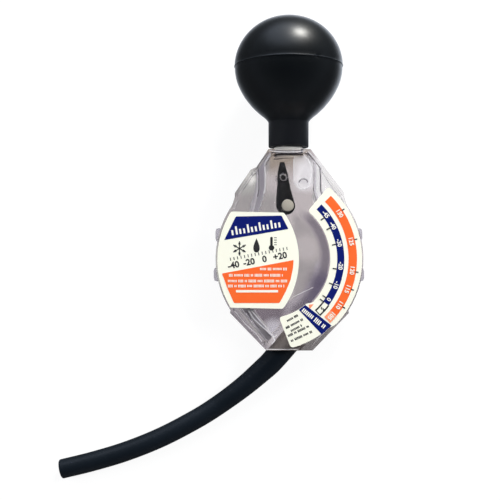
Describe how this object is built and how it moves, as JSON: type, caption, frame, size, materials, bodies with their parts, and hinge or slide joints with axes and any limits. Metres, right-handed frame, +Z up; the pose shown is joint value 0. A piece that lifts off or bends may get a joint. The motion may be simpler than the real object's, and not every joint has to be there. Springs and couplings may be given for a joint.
{
  "type": "antifreeze tester",
  "caption": "Coolant tester with a rubber squeeze bulb on a flat clear housing, a dial needle and hanging balance arm inside, a curved scale and a suction hose.",
  "frame": {"origin": "on the surface that the tester lies on, below the middle of the tester without its hose", "axes": "+Z up, +Y from the hose end towards the squeeze bulb, +X towards the scale's side; the housing's front face looks up and is tipped 6.97 degrees towards -Y, because the bulb is thicker than the housing"},
  "size_m": [0.1519, 0.2295, 0.054],
  "materials": {
    "clear_shell": "clear moulded plastic with a faint smoke tint",
    "seal": "translucent grey sealing strip",
    "white_plastic": "moulded white plastic",
    "washer": "dark sealing rubber",
    "bulb_rubber": "satin black moulded rubber",
    "pin_steel": "drawn steel wire",
    "black_plastic": "moulded black plastic",
    "slug_brass": "turned brass",
    "grey_plastic": "moulded grey plastic",
    "disc_plastic": "pale grey moulded disc",
    "label_film": "printed cream vinyl label",
    "hose_rubber": "smooth black rubber hose"
  },
  "bodies": {
    "housing": {"back_shell": "clear_shell", "front_shell": "clear_shell", "chamber_seal_left": "seal", "chamber_seal_right": "seal", "neck_adapter": "white_plastic", "neck_washer": "washer", "squeeze_bulb": "bulb_rubber", "needle_pin": "pin_steel", "arm_pin": "black_plastic", "hose_fitting": "grey_plastic", "name_label": "label_film", "scale_label": "label_film", "hose": "hose_rubber"},
    "dial_needle": {"needle_hub": "white_plastic", "needle": "black_plastic", "needle_float": "white_plastic", "needle_slug": "slug_brass"},
    "balance": {"balance_arm": "black_plastic", "balance_disc": "disc_plastic", "arm_washer": "grey_plastic"}
  },
  "joints": [
    {"name": "needle_swing", "type": "hinge", "parent": "housing", "child": "dial_needle", "pos_m": [-0.0107, -0.03778, 0.01833], "axis": [0, -0.1213, 0.9926], "range_deg": [-10, 139]},
    {"name": "balance_swing", "type": "hinge", "parent": "housing", "child": "balance", "pos_m": [-0.0029, 0.00164, 0.02466], "axis": [0, -0.1213, 0.9926], "range_deg": [-30, 20]}
  ]
}
